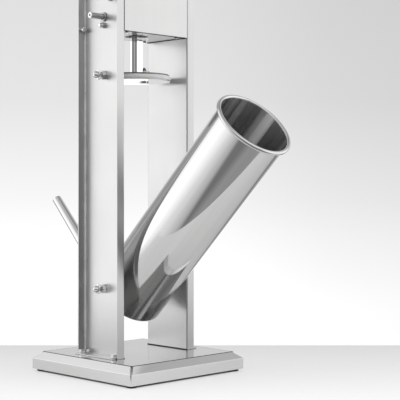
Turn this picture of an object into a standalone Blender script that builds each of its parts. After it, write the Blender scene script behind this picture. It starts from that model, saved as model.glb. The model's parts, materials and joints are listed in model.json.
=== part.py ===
"""Hand-cranked vertical sausage stuffer with a tilting cylinder, in metres, +Z up.

The origin is on the table top, below the centre of the base. The cylinder's top tilts
towards +X, and the crank is on the -Y side. Heights in the sizes below are measured from
the base's top face, where an empty carries all the pieces, and each moving group hangs
from an empty on its joint.
"""

import math

import bmesh
import bpy
from mathutils import Matrix

# Clearances
mesh_gap = 0.0003
running_gap = 0.0003
cut_overrun = 0.004

# Base pan
base_length = 0.302
base_width = 0.302
base_bevel_run = 0.017
base_bevel_drop = 0.013
skirt_height = 0.021
base_sheet = 0.0015
base_lip = 0.030
base_corner_radius = 0.004

# Feet
foot_diameter = 0.024
foot_height = 0.005
foot_edge = 0.001
foot_inset = 0.016

# Column of two uprights
column_x = -0.004
web_spacing = 0.1672
upright_depth = 0.120
upright_sheet = 0.002
upright_bend = 0.003
flange_width = 0.0187
back_flange_rise = 0.006
tab_reach = 0.0294
tab_bolt_spacing = 0.098
tab_bolt_reach = 0.0155

# Base bolts
base_bolt_diameter = 0.008
base_bolt_flats = 0.013
base_bolt_head = 0.0053
base_washer_diameter = 0.016
base_washer = 0.0012
base_nut = 0.0065
bolt_hole_gap = 0.0004

# Tilting cylinder
tilt_angle = math.radians(45.75)
pivot_height = 0.1314
tube_diameter = 0.142
tube_wall = 0.001
tube_below_pivot = 0.029
rim_above_pivot = 0.448
rim_bead_radius = 0.0041
tube_foot_radius = 0.006
outlet_bore = 0.032
boss_wall = 0.0057
boss_seat = 0.0009
boss_web_gap = 0.0008

# Outlet elbow, ring nut and filling horn
elbow_wall = 0.0035
elbow_bend_radius = 0.024
elbow_flange_width = 0.0125
elbow_flange = 0.003
elbow_neck = 0.0107
spout_length = 0.051
spout_collar = 0.004
spout_collar_width = 0.0025
nut_length = 0.026
nut_wall = 0.0055
nut_lip = 0.0035
nut_lobe_depth = 0.0022
nut_lobes = 10
horn_flange = 0.003
horn_base_diameter = 0.0236
horn_tip_diameter = 0.0202
horn_wall = 0.001
horn_length = 0.2307
horn_tip_edge = 0.0004

# Studs of the pivots and of the cylinder's side stops
stud_diameter = 0.010
stud_nut_flats = 0.017
stud_nut_height = 0.008
stud_nut_chamfer = 0.0012
dome_hex_height = 0.0055
dome_start = 0.0105
dome_radius = 0.0073
dome_height = 0.0098
pivot_stud_end_gap = 0.0006
side_stop_drop = 0.0831
side_stop_gap = 0.0006
stud_tip = 0.0015

# Ram: rack bar, piston and air valve
piston_drop = 0.0906
rack_depth = 0.020
rack_width = 0.0155
rack_length = 0.612
rack_plain_end = 0.010
rack_plain_foot = 0.079
piston_cylinder_gap = 0.0004
piston_base_inset = 0.0016
piston_base_plate = 0.0016
piston_edge = 0.0008
piston_hub_diameter = 0.040
piston_seal_height = 0.0104
piston_seal_width = 0.0096
piston_seal_lip = 0.0018
piston_cap_inset = 0.0038
piston_cap_plate = 0.0026
ram_stud_diameter = 0.012
ram_stud_floor = 0.0042
valve_rack_gap = 0.0007
valve_port_gap = 0.001
valve_housing_diameter = 0.023
valve_housing_height = 0.009
valve_neck_diameter = 0.014
valve_neck_end = 0.0095
valve_stem_diameter = 0.0044
valve_head_diameter = 0.0185
valve_head = 0.0028
valve_knob_diameter = 0.0124
valve_knob_top_diameter = 0.005
valve_knob = 0.0066

# Gearbox shell
gearbox_height = 0.6326
gearbox_body = 0.1574
gearbox_sheet = 0.0015
gearbox_floor_sheet = 0.002
cover_return = 0.016
cover_foot = 0.020
rear_cover_inset = 0.004
top_lip = 0.010
floor_screw_front = 0.0145
floor_screw_back = 0.010
floor_screw_side = 0.018
floor_screw_diameter = 0.004
floor_screw_head = 0.0075
floor_screw_head_height = 0.0024
floor_screw_length = 0.009
rear_screw_height = 0.0105
rear_screw_reach = 0.0105
rear_screw_diameter = 0.005
rear_nut_flats = 0.0095
rear_nut_height = 0.010
side_bolt_height = 0.0145
side_bolt_diameter = 0.006
side_bolt_flats = 0.011
side_bolt_hex = 0.006
side_bolt_dome = 0.0055
side_bolt_inner_nut = 0.005

# Rack guide
guide_wall = 0.0015
guide_flange_width = 0.0014
guide_flange = 0.0018
guide_neck_height = 0.010

# Gear train
rack_module = 0.0015
pinion_teeth = 14
rack_addendum_share = 0.75
root_clearance_share = 0.25
pinion_overlap = 0.0008
gear_module = 0.0015
slow_teeth = 19
large_teeth = 38
gear_width = 0.010
gear_plane = 0.037
tooth_backlash = 0.0003
pressure_angle = math.radians(20)
slow_shaft_height = 0.0314
shaft_diameter = 0.0126
slow_shaft_reach = 0.0354
fast_shaft_reach = 0.0515
shaft_end_chamfer = 0.0006
shaft_centre_diameter = 0.003
shaft_centre_depth = 0.003
bearing_plate = 0.003
bearing_plate_y = 0.020
bearing_plate_foot = 0.014
bearing_plate_top_gap = 0.004
bush_wall = 0.0015
bush_flange = 0.004
bush_flange_width = 0.0013
bush_neck = 0.008
large_hub_wall = 0.0044

# Crank
crank_radius = 0.140
crank_hub_wall = 0.0044
crank_hub_length = 0.020
crank_arm_width = 0.018
crank_arm_end_width = 0.016
crank_arm_thickness = 0.005
grip_diameter = 0.028
grip_waist_diameter = 0.023
grip_length = 0.086
grip_edge = 0.003
grip_pin_diameter = 0.008
grip_pin_head_diameter = 0.013
grip_pin_head = 0.003
thumb_screw_diameter = 0.006
thumb_screw_reach = 0.009
thumb_head_diameter = 0.015
thumb_head = 0.007
thumb_head_edge = 0.001

# Facets
tube_segments = 44
round_segments = 20
shaft_segments = 16
small_segments = 12
smooth_limit = math.radians(35)

# Places worked out from the sizes above
half_web = web_spacing / 2
web_out = half_web + upright_sheet
column_front = column_x + upright_depth / 2
column_back = column_x - upright_depth / 2
tube_radius = tube_diameter / 2
tube_bore_radius = tube_radius - tube_wall
elbow_radius = outlet_bore / 2 + elbow_wall
horn_below_pivot = tube_below_pivot + mesh_gap + elbow_flange + elbow_neck + elbow_bend_radius
spout_reach = elbow_bend_radius + spout_length
upright_top = gearbox_height + gearbox_body
side_stop_height = gearbox_height - side_stop_drop
piston_height = gearbox_height - piston_drop
skirt_bottom = -base_bevel_drop - skirt_height
rack_face = rack_depth / 2
rack_addendum = rack_addendum_share * rack_module
rack_pitch_x = column_x + rack_face - rack_addendum
pinion_radius = rack_module * pinion_teeth / 2
slow_radius = gear_module * slow_teeth / 2
large_radius = gear_module * large_teeth / 2
slow_z = gearbox_height + slow_shaft_height
fast_x = rack_pitch_x + pinion_radius
gear_centres = slow_radius + large_radius
gear_step_x = column_x - fast_x
fast_z = slow_z + math.sqrt(gear_centres**2 - gear_step_x**2)
seal_radius = tube_bore_radius - piston_cylinder_gap
piston_top = piston_seal_height + 2 * mesh_gap + piston_cap_plate
valve_offset = rack_width / 2 + valve_rack_gap + valve_housing_diameter / 2
guide_slot_x = rack_face + running_gap
guide_slot_y = rack_width / 2 + running_gap
guide_neck_radius = math.hypot(guide_slot_x, guide_slot_y) + guide_wall
shaft_radius = shaft_diameter / 2
shaft_bore_radius = shaft_radius + running_gap
bush_neck_radius = shaft_bore_radius + bush_wall
crank_outer = web_out + fast_shaft_reach - shaft_end_chamfer
crank_inner = crank_outer - crank_hub_length
screw_reach = crank_inner + (crank_hub_length - crank_arm_thickness) / 2


def clear_scene():
    for obj in list(bpy.data.objects):
        bpy.data.objects.remove(obj, do_unlink=True)


def material(name, colour, metallic, roughness):
    mat = bpy.data.materials.new(name)
    mat.use_nodes = True
    shader = mat.node_tree.nodes["Principled BSDF"]
    shader.inputs["Base Color"].default_value = (*colour, 1)
    shader.inputs["Metallic"].default_value = metallic
    shader.inputs["Roughness"].default_value = roughness
    mat.diffuse_color = (*colour, 1)
    return mat


def part(name, bm, mat, place=None, parent=None, smooth=False):
    """The bmesh as an object at its place in its parent's frame."""
    bmesh.ops.recalc_face_normals(bm, faces=bm.faces)
    mesh = bpy.data.meshes.new(name)
    bm.to_mesh(mesh)
    bm.free()
    if mat is not None:
        mesh.materials.append(mat)
    if smooth:
        mesh.shade_smooth()
        mesh.set_sharp_from_angle(angle=smooth_limit)
    obj = bpy.data.objects.new(name, mesh)
    bpy.context.scene.collection.objects.link(obj)
    obj.parent = parent or deck
    if place is not None:
        obj.matrix_basis = place
    return obj


def empty_at(name, place, parent, tilt=0):
    empty = bpy.data.objects.new(name, None)
    empty.empty_display_size = shaft_diameter
    empty.location = place
    empty.rotation_euler = (0, tilt, 0)
    bpy.context.scene.collection.objects.link(empty)
    empty.parent = parent
    return empty


def helper(obj):
    obj.hide_render = True
    obj.display_type = "WIRE"
    return obj


def boolean(obj, other, operation):
    mod = obj.modifiers.new(operation.lower() + "_" + other.name, "BOOLEAN")
    mod.operation = operation
    mod.solver = "EXACT"
    mod.object = helper(other)


def cut(obj, cutter):
    boolean(obj, cutter, "DIFFERENCE")


def join(obj, other):
    boolean(obj, other, "UNION")


# Local +Z turned to each direction, for pieces that lie along it
ALONG = {
    "+Z": Matrix.Identity(4),
    "+Y": Matrix(((1, 0, 0, 0), (0, 0, 1, 0), (0, -1, 0, 0), (0, 0, 0, 1))),
    "-Y": Matrix(((1, 0, 0, 0), (0, 0, -1, 0), (0, 1, 0, 0), (0, 0, 0, 1))),
    "+X": Matrix(((0, 0, 1, 0), (1, 0, 0, 0), (0, 1, 0, 0), (0, 0, 0, 1))),
    "-X": Matrix(((0, 0, -1, 0), (0, 1, 0, 0), (1, 0, 0, 0), (0, 0, 0, 1))),
}


def placed(direction, x, y, z):
    return Matrix.Translation((x, y, z)) @ ALONG[direction]


def loft(rings, closed=False):
    """A skin over rings of equal counts; its ends are capped unless they join up."""
    bm = bmesh.new()
    loops = [[bm.verts.new(point) for point in ring] for ring in rings]
    pairs = list(zip(loops, loops[1:]))
    if closed:
        pairs.append((loops[-1], loops[0]))
    for low, high in pairs:
        for k in range(len(low)):
            bm.faces.new((low[k - 1], low[k], high[k], high[k - 1]))
    if not closed:
        bm.faces.new(loops[0])
        bm.faces.new(loops[-1])
    return bm


def circle(radius, z, segments):
    turn = 2 * math.pi / segments
    return [(radius * math.cos(k * turn), radius * math.sin(k * turn), z) for k in range(segments)]


def hexagon(flats, z, segments):
    """A hexagon's outline with as many points as the circles it is lofted to."""
    turn = 2 * math.pi / segments
    ring = []
    for k in range(segments):
        angle = k * turn
        off = (angle + math.pi / 6) % (math.pi / 3) - math.pi / 6
        radius = flats / 2 / math.cos(math.pi / 6 - abs(off))
        ring.append((radius * math.cos(angle), radius * math.sin(angle), z))
    return ring


def turned(name, profile, mat, segments, place=None, parent=None, closed=False):
    """A profile of (radius, z) pairs, spun about its Z axis and capped unless it is closed."""
    bm = bmesh.new()
    corners = [bm.verts.new((radius, 0, z)) for radius, z in profile]
    edges = [bm.edges.new(pair) for pair in zip(corners, corners[1:])]
    if closed:
        edges.append(bm.edges.new((corners[-1], corners[0])))
    spun = corners + edges
    bmesh.ops.spin(
        bm, geom=spun, cent=(0, 0, 0), axis=(0, 0, 1), angle=2 * math.pi, steps=segments, use_merge=True
    )
    if not closed:
        rims = [edge for edge in bm.edges if edge.is_boundary]
        bmesh.ops.holes_fill(bm, edges=rims, sides=0)
    return part(name, bm, mat, place, parent, smooth=True)


def prism(name, outline, low, high, mat, place=None, parent=None):
    """An outline of (x, y) pairs, extruded from z low to z high."""
    bm = bmesh.new()
    base = bm.faces.new([bm.verts.new((x, y, low)) for x, y in outline])
    extruded = bmesh.ops.extrude_face_region(bm, geom=[base])
    raised = [item for item in extruded["geom"] if isinstance(item, bmesh.types.BMVert)]
    bmesh.ops.translate(bm, verts=raised, vec=(0, 0, high - low))
    return part(name, bm, mat, place, parent)


def block(name, x0, x1, y0, y1, z0, z1, mat=None, parent=None):
    outline = [(x0, y0), (x1, y0), (x1, y1), (x0, y1)]
    return prism(name, outline, z0, z1, mat, None, parent)


def pin_cutter(name, radius, direction, place, low, high, parent=None, segments=small_segments):
    profile = [(radius, low), (radius, high)]
    return turned(name, profile, None, segments, placed(direction, *place), parent)


def rounded_rectangle(half_x, half_y, radius, steps=3):
    corners = ((1, 1, 0), (-1, 1, 1), (-1, -1, 2), (1, -1, 3))
    outline = []
    for sx, sy, quarter in corners:
        cx = sx * (half_x - radius)
        cy = sy * (half_y - radius)
        for k in range(steps + 1):
            angle = (quarter + k / steps) * math.pi / 2
            outline.append((cx + radius * math.cos(angle), cy + radius * math.sin(angle)))
    return outline


def gear_outline(teeth, module, root_depth, phase):
    """Involute teeth, with one tooth centred on the angle phase."""
    pitch = module * teeth / 2
    base = pitch * math.cos(pressure_angle)
    tip = pitch + module
    root = pitch - root_depth
    lean = math.tan(pressure_angle) - pressure_angle
    half = (math.pi * module / 2 - tooth_backlash) / 2 / pitch + lean

    def half_angle(radius):
        if radius <= base:
            return half
        roll = math.acos(base / radius)
        return half - (math.tan(roll) - roll)

    foot = max(root, base)
    radii = [root, foot, (foot + tip) / 2, tip]
    if root >= base:
        radii = [root, (root + tip) / 2, tip]
    outline = []
    for k in range(teeth):
        centre = phase + 2 * math.pi * k / teeth
        for radius in radii:
            angle = centre - half_angle(radius)
            outline.append((radius * math.cos(angle), radius * math.sin(angle)))
        for radius in reversed(radii):
            angle = centre + half_angle(radius)
            outline.append((radius * math.cos(angle), radius * math.sin(angle)))
    return outline


clear_scene()
deck = empty_at("deck_centre", (0, 0, foot_height - skirt_bottom), None)

steel = material("satin_steel", (0.62, 0.62, 0.61), 1, 0.28)
polished = material("polished_steel", (0.70, 0.70, 0.69), 1, 0.10)
hardware = material("bright_hardware", (0.72, 0.72, 0.71), 1, 0.16)
gear_steel = material("gear_steel", (0.35, 0.35, 0.36), 1, 0.38)
rubber = material("foot_rubber", (0.03, 0.03, 0.03), 0, 0.75)
seal_white = material("seal_silicone", (0.80, 0.81, 0.80), 0, 0.35)
guide_black = material("guide_plastic", (0.04, 0.04, 0.045), 0, 0.45)
grip_black = material("grip_plastic", (0.025, 0.025, 0.028), 0, 0.40)
bush_metal = material("bush_steel", (0.60, 0.59, 0.57), 1, 0.25)


# Base pan: one folded sheet, open below, with a lip turned in all round
def base_pan():
    half_x = base_length / 2
    half_y = base_width / 2
    inner = base_corner_radius - base_sheet / 2
    levels = (
        (base_bevel_run, 0, base_corner_radius),
        (0, -base_bevel_drop, base_corner_radius),
        (0, skirt_bottom, base_corner_radius),
        (base_lip, skirt_bottom, base_corner_radius),
        (base_lip, skirt_bottom + base_sheet, base_corner_radius),
        (base_sheet, skirt_bottom + base_sheet, inner),
        (base_sheet, -base_bevel_drop - base_sheet / 2, inner),
        (base_bevel_run + base_sheet / 2, -base_sheet, inner),
    )
    rings = []
    for inset, z, radius in levels:
        outline = rounded_rectangle(half_x - inset, half_y - inset, radius)
        rings.append([(x, y, z) for x, y in outline])
    pan = part("base_pan", loft(rings), steel)
    for name, x, y in tab_bolts():
        hole = base_bolt_diameter / 2 + bolt_hole_gap
        low = -base_sheet - cut_overrun
        cut(pan, pin_cutter("hole_pan_" + name, hole, "+Z", (x, y, 0), low, cut_overrun))


def tab_bolts():
    places = []
    for side, y_sign in (("near", -1), ("far", 1)):
        for end, x_sign in (("back", -1), ("front", 1)):
            x = column_x + x_sign * tab_bolt_spacing / 2
            places.append((side + "_" + end, x, y_sign * (half_web + tab_bolt_reach)))
    return places


def feet():
    radius = foot_diameter / 2
    top = skirt_bottom - mesh_gap
    profile = [
        (radius - 2 * foot_edge, skirt_bottom - foot_height),
        (radius - foot_edge, skirt_bottom - foot_height + foot_edge),
        (radius, top),
    ]
    for side, y_sign in (("near", -1), ("far", 1)):
        for end, x_sign in (("back", -1), ("front", 1)):
            x = x_sign * (base_length / 2 - foot_inset)
            y = y_sign * (base_width / 2 - foot_inset)
            turned("foot_" + side + "_" + end, profile, rubber, round_segments, placed("+Z", x, y, 0))


# Uprights: channels that open outwards, each with a foot tab bolted to the base
def channel_outline(side):
    depth = upright_depth / 2
    bend = upright_bend
    inner = upright_bend - upright_sheet / 2
    steps = 3
    web = half_web
    free = half_web + flange_width
    outline = [(-depth, free)]
    for k in range(steps + 1):
        angle = math.pi + k / steps * math.pi / 2
        outline.append((-depth + bend + bend * math.cos(angle), web + bend + bend * math.sin(angle)))
    for k in range(steps + 1):
        angle = 3 * math.pi / 2 + k / steps * math.pi / 2
        outline.append((depth - bend + bend * math.cos(angle), web + bend + bend * math.sin(angle)))
    outline.append((depth, free))
    outline.append((depth - upright_sheet, free))
    low = web + upright_sheet + inner
    right = depth - upright_sheet - inner
    for k in range(steps + 1):
        angle = -k / steps * math.pi / 2
        outline.append((right + inner * math.cos(angle), low + inner * math.sin(angle)))
    for k in range(steps + 1):
        angle = -math.pi / 2 - k / steps * math.pi / 2
        outline.append((-right + inner * math.cos(angle), low + inner * math.sin(angle)))
    outline.append((-depth + upright_sheet, free))
    if side < 0:
        outline = [(x, -y) for x, y in reversed(outline)]
    return [(column_x + x, y) for x, y in outline]


def upright(name, side):
    bottom = mesh_gap
    obj = prism(name, channel_outline(side), bottom, upright_top, steel)
    y_web = side * (half_web + upright_sheet / 2)
    y_tab = side * (half_web + tab_reach)
    low, high = sorted((y_web, y_tab))
    x0 = column_back + upright_bend
    x1 = column_front - upright_bend
    join(obj, block("tab_" + name, x0, x1, low, high, bottom, bottom + upright_sheet))
    low, high = sorted((side * (web_out + upright_bend), side * (half_web + flange_width + cut_overrun)))
    x0 = column_back - cut_overrun
    x1 = column_back + upright_sheet + mesh_gap
    cut(obj, block("notch_" + name, x0, x1, low, high, -cut_overrun, back_flange_rise))
    hole = base_bolt_diameter / 2 + bolt_hole_gap
    for bolt, x, y in tab_bolts():
        if y * side > 0:
            top = upright_sheet + cut_overrun
            cut(obj, pin_cutter("hole_tab_" + bolt, hole, "+Z", (x, y, 0), -cut_overrun, top))
    stud = stud_diameter / 2 + running_gap
    low, high = sorted((side * (half_web - cut_overrun), side * (web_out + cut_overrun)))
    holes = [
        ("pivot", column_x, pivot_height, stud),
        ("stop", column_x, side_stop_height, stud),
        ("side", column_x, gearbox_height + side_bolt_height, side_bolt_diameter / 2 + bolt_hole_gap),
    ]
    if side < 0:
        bush = bush_neck_radius + mesh_gap
        holes.append(("slow", column_x, slow_z, bush))
        holes.append(("fast", fast_x, fast_z, bush))
    for label, x, z, radius in holes:
        cut(obj, pin_cutter("hole_" + label + "_" + name, radius, "+Y", (x, 0, z), low, high))
    y = side * (half_web + rear_screw_reach)
    z = gearbox_height + rear_screw_height
    radius = rear_screw_diameter / 2 + bolt_hole_gap
    place = (column_back, y, z)
    reach = upright_sheet + cut_overrun
    cut(obj, pin_cutter("hole_rear_" + name, radius, "+X", place, -cut_overrun, reach))


def base_bolts():
    shank = base_bolt_diameter / 2
    washer = base_washer_diameter / 2
    washer_low = upright_sheet + 2 * mesh_gap
    washer_high = washer_low + base_washer
    head_top = washer_high + base_bolt_head
    nut_top = -base_sheet - mesh_gap
    nut_low = nut_top - base_nut
    tail = nut_low - shank / 2
    edge = base_washer / 2
    seg = small_segments
    for name, x, y in tab_bolts():
        rings = [
            circle(shank - edge, tail, seg),
            circle(shank, tail + edge, seg),
            circle(shank, nut_low, seg),
            hexagon(base_bolt_flats, nut_low, seg),
            hexagon(base_bolt_flats, nut_top, seg),
            circle(shank, nut_top, seg),
            circle(shank, washer_low, seg),
            circle(washer, washer_low, seg),
            circle(washer, washer_high, seg),
            hexagon(base_bolt_flats, washer_high, seg),
            hexagon(base_bolt_flats, head_top - edge, seg),
            circle(base_bolt_flats / 2 - edge, head_top, seg),
        ]
        part("base_bolt_" + name, loft(rings), hardware, placed("+Z", x, y, 0))


# Pivot studs and side stop studs, each with a lock nut and a dome nut outside the web
def stud_nut(name, side, z):
    seg = small_segments
    hole = stud_diameter / 2 + running_gap
    low = web_out + mesh_gap
    high = low + stud_nut_height
    chamfer = stud_nut_chamfer
    round_edge = stud_nut_flats / 2
    rings = [
        circle(hole, low, seg),
        circle(hole, high, seg),
        circle(round_edge, high, seg),
        hexagon(stud_nut_flats, high - chamfer, seg),
        hexagon(stud_nut_flats, low + chamfer, seg),
        circle(round_edge, low, seg),
    ]
    direction = "+Y" if side > 0 else "-Y"
    part(name, loft(rings, closed=True), hardware, placed(direction, column_x, 0, z))


def dome_nut(name, side, z):
    seg = small_segments
    hole = stud_diameter / 2 + running_gap
    low = web_out + mesh_gap + dome_start
    hex_top = low + dome_hex_height
    blind = hex_top + dome_height / 3
    chamfer = stud_nut_chamfer
    rings = [
        circle(hole, blind, seg),
        circle(hole, low, seg),
        circle(stud_nut_flats / 2, low, seg),
        hexagon(stud_nut_flats, low + chamfer, seg),
        hexagon(stud_nut_flats, hex_top, seg),
    ]
    steps = 5
    for k in range(steps):
        angle = k / steps * math.pi / 2
        rings.append(circle(dome_radius * math.cos(angle), hex_top + dome_height * math.sin(angle), seg))
    direction = "+Y" if side > 0 else "-Y"
    part(name, loft(rings), hardware, placed(direction, column_x, 0, z))


def stud(name, side, z, inner_end):
    radius = stud_diameter / 2
    outer = web_out + 2 * mesh_gap + dome_start + dome_hex_height
    profile = [(radius - stud_tip, inner_end), (radius, inner_end + stud_tip), (radius, outer)]
    direction = "+Y" if side > 0 else "-Y"
    turned(name, profile, hardware, small_segments, placed(direction, column_x, 0, z))


# Tilting cylinder, in its own frame: origin on the pivot, +Z up the tube
def cylinder_tube(parent):
    top = rim_above_pivot
    bottom = -tube_below_pivot
    bead = rim_bead_radius
    bead_centre = tube_bore_radius + bead
    foot = tube_foot_radius
    inner_foot = foot - tube_wall
    outlet = outlet_bore / 2
    profile = [(outlet, bottom)]
    steps = 3
    for k in range(steps + 1):
        angle = -math.pi / 2 + k / steps * math.pi / 2
        r = tube_radius - foot + foot * math.cos(angle)
        profile.append((r, bottom + foot + foot * math.sin(angle)))
    meet = math.acos((tube_radius - bead_centre) / bead)
    arc = 9
    for k in range(arc + 1):
        angle = -meet + k / arc * (math.pi + meet)
        profile.append((bead_centre + bead * math.cos(angle), top + bead * math.sin(angle)))
    for k in range(steps + 1):
        angle = -k / steps * math.pi / 2
        r = tube_bore_radius - inner_foot + inner_foot * math.cos(angle)
        profile.append((r, bottom + foot + inner_foot * math.sin(angle)))
    profile.append((outlet, bottom + tube_wall))
    obj = turned("cylinder_tube", profile, polished, tube_segments, None, parent, closed=True)
    start = tube_radius - boss_seat
    end = half_web - boss_web_gap
    hole = stud_diameter / 2 + running_gap
    boss = [(hole + boss_wall, start), (hole + boss_wall, end)]
    depth = tube_radius + tube_wall
    centre = (0, 0, 0)
    for label, direction in (("near", "-Y"), ("far", "+Y")):
        join(obj, turned("boss_" + label, boss, None, round_segments, ALONG[direction], parent))
        cut(obj, pin_cutter("hole_boss_" + label, hole, direction, centre, depth, end + cut_overrun, parent))


def outlet_elbow(parent):
    """A pipe from the tube's floor that turns to -X and ends in the spout."""
    bend = elbow_bend_radius
    top = -tube_below_pivot - mesh_gap
    axis_z = -horn_below_pivot
    outer = elbow_radius
    bore = outlet_bore / 2
    flange = outer + elbow_flange_width
    collar = outer + spout_collar_width
    collar_start = spout_reach - nut_length - spout_collar
    seg = round_segments

    def across(radius, centre, lean):
        turn = 2 * math.pi / seg
        ring = []
        for k in range(seg):
            u = radius * math.cos(k * turn)
            v = radius * math.sin(k * turn)
            ring.append((centre[0] + u * math.cos(lean), v, centre[1] - u * math.sin(lean)))
        return ring

    def path(radius):
        rings = []
        steps = 5
        for k in range(steps + 1):
            lean = k / steps * math.pi / 2
            x = -bend + bend * math.cos(lean)
            z = axis_z + bend - bend * math.sin(lean)
            rings.append(across(radius, (x, z), lean))
        return rings

    flat = math.pi / 2
    outside = [
        across(flange, (0, top), 0),
        across(flange, (0, top - elbow_flange), 0),
        across(outer, (0, top - elbow_flange), 0),
    ]
    outside += path(outer)
    outside += [
        across(outer, (-collar_start, axis_z), flat),
        across(collar, (-collar_start, axis_z), flat),
        across(collar, (-collar_start - spout_collar, axis_z), flat),
        across(outer, (-collar_start - spout_collar, axis_z), flat),
        across(outer, (-spout_reach, axis_z), flat),
    ]
    inside = [across(bore, (0, top), 0)] + path(bore) + [across(bore, (-spout_reach, axis_z), flat)]
    pipe = loft(outside + list(reversed(inside)), closed=True)
    part("outlet_elbow", pipe, polished, None, parent, smooth=True)


def ring_nut(parent):
    """Lobed nut round the spout, with a lip that holds the horn's flange."""
    bore = elbow_radius + running_gap
    outer = bore + nut_wall
    lip_bore = horn_base_diameter / 2 + 2 * running_gap
    start = spout_reach - nut_length + mesh_gap
    seat = spout_reach + horn_flange + 3 * mesh_gap
    end = seat + nut_lip
    seg = 4 * nut_lobes
    edge = nut_lobe_depth / 2

    def lobed(radius, s):
        turn = 2 * math.pi / seg
        ring = []
        for k in range(seg):
            dip = nut_lobe_depth if k % 4 == 0 else 0
            r = radius - dip
            ring.append((r * math.cos(k * turn), r * math.sin(k * turn), s))
        return ring

    rings = [
        circle(bore, start, seg),
        lobed(outer - edge, start),
        lobed(outer, start + edge),
        lobed(outer, end - edge),
        lobed(outer - edge, end),
        circle(lip_bore, end, seg),
        circle(lip_bore, seat, seg),
        circle(bore, seat, seg),
    ]
    part("ring_nut", loft(rings, closed=True), polished, ALONG["-X"], parent)


def filling_horn(parent):
    start = spout_reach + mesh_gap
    end = start + horn_length
    base = horn_base_diameter / 2
    tip = horn_tip_diameter / 2
    root = start + horn_flange
    profile = [
        (base - horn_wall, start),
        (elbow_radius, start),
        (elbow_radius, root),
        (base, root),
        (tip, end - horn_tip_edge),
        (tip - horn_tip_edge, end),
        (tip - horn_wall, end),
    ]
    place = placed("-X", 0, 0, -horn_below_pivot)
    turned("filling_horn", profile, polished, round_segments, place, parent, closed=True)


# Ram, in its own frame: origin at the centre of the piston's underside
def rack_bar(parent):
    """A square bar whose teeth face +X, with a gap centred on the pinion, on a stud for the piston."""
    pitch = math.pi * rack_module
    foot = piston_top + mesh_gap
    top = foot + rack_length
    mesh_z = fast_z - piston_height
    depth = rack_addendum + rack_module * (1 + root_clearance_share)
    slope = math.tan(pressure_angle)
    tip_half = pitch / 4 - tooth_backlash / 2 - rack_addendum * slope
    gap_tip = pitch / 2 - tip_half
    gap_root = gap_tip - depth * slope
    first = math.ceil((foot + rack_plain_foot - mesh_z) / pitch)
    last = math.floor((top - rack_plain_end - mesh_z) / pitch)
    outline = [(-rack_face, foot), (rack_face, foot)]
    for k in range(first, last + 1):
        gap = mesh_z + k * pitch
        outline.append((rack_face, gap - gap_tip))
        outline.append((rack_face - depth, gap - gap_root))
        outline.append((rack_face - depth, gap + gap_root))
        outline.append((rack_face, gap + gap_tip))
    outline += [(rack_face, top), (-rack_face, top)]
    half = rack_width / 2
    bar = prism("rack_bar", outline, -half, half, polished, ALONG["-Y"], parent)
    radius = ram_stud_diameter / 2
    stud_profile = [(radius, ram_stud_floor + mesh_gap), (radius, foot + radius)]
    join(bar, turned("rack_stud", stud_profile, None, small_segments, None, parent))


def piston(parent):
    base = seal_radius - piston_base_inset
    edge = piston_edge
    hub = piston_hub_diameter / 2
    stud_hole = ram_stud_diameter / 2 + running_gap
    profile = [
        (base - edge, 0),
        (base, edge),
        (base, piston_base_plate),
        (hub, piston_base_plate),
        (hub, piston_seal_height),
        (stud_hole, piston_seal_height),
        (stud_hole, ram_stud_floor),
    ]
    bottom = turned("piston_base", profile, polished, tube_segments, None, parent)
    port = valve_head_diameter / 2 + valve_port_gap
    place = (0, valve_offset, 0)
    high = piston_seal_height + cut_overrun
    cut(bottom, pin_cutter("hole_port", port, "+Z", place, -cut_overrun, high, parent, round_segments))

    outer = seal_radius
    bore = outer - piston_seal_width
    lip = piston_seal_lip
    rest = piston_base_plate + mesh_gap
    profile = [
        (bore, rest),
        (outer - lip * 2 / 3, rest),
        (outer - lip / 5, rest + lip),
        (outer, (rest + piston_seal_height) / 2),
        (outer - lip / 5, piston_seal_height - lip),
        (outer - lip * 2 / 3, piston_seal_height),
        (bore, piston_seal_height),
    ]
    turned("piston_seal", profile, seal_white, tube_segments, None, parent, closed=True)

    cap = outer - piston_cap_inset
    low = piston_seal_height + mesh_gap
    profile = [
        (stud_hole, low),
        (cap, low),
        (cap, piston_top - edge),
        (cap - edge, piston_top),
        (stud_hole, piston_top),
    ]
    top = turned("piston_cap", profile, polished, tube_segments, None, parent, closed=True)
    neck = valve_neck_diameter / 2 + mesh_gap
    high = piston_top + cut_overrun
    cut(top, pin_cutter("hole_neck", neck, "+Z", place, piston_base_plate, high, parent, round_segments))


def air_valve(parent, valve_parent):
    place = placed("+Z", 0, valve_offset, 0)
    seat = piston_top + mesh_gap
    bore = valve_stem_diameter / 2 + running_gap
    neck = valve_neck_diameter / 2
    base = valve_housing_diameter / 2
    top = seat + valve_housing_height
    profile = [
        (bore, valve_neck_end),
        (neck, valve_neck_end),
        (neck, seat),
        (base, seat),
        (base, top - piston_edge),
        (base - piston_edge, top),
        (bore, top),
    ]
    turned("air_valve_housing", profile, hardware, round_segments, place, parent, closed=True)
    stem = valve_stem_diameter / 2
    head = valve_head_diameter / 2
    knob = valve_knob_diameter / 2
    knob_top = valve_knob_top_diameter / 2
    head_high = -mesh_gap
    head_low = head_high - valve_head
    knob_low = top + mesh_gap
    knob_high = knob_low + valve_knob
    profile = [
        (head - piston_edge, head_low),
        (head, head_low + piston_edge),
        (head, head_high),
        (stem, head_high),
        (stem, knob_low),
        (knob, knob_low),
        (knob_top, knob_high - piston_edge),
        (knob_top - piston_edge, knob_high),
    ]
    turned("air_valve_stem", profile, hardware, small_segments, None, valve_parent)


# Gearbox shell: floor, front and rear covers and a top with a lip
def floor_screws():
    places = []
    for side, y_sign in (("near", -1), ("far", 1)):
        y = y_sign * (half_web - floor_screw_side)
        places.append((side + "_front", column_front - floor_screw_front, y))
        places.append((side + "_back", column_back + floor_screw_back, y))
    return places


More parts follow.
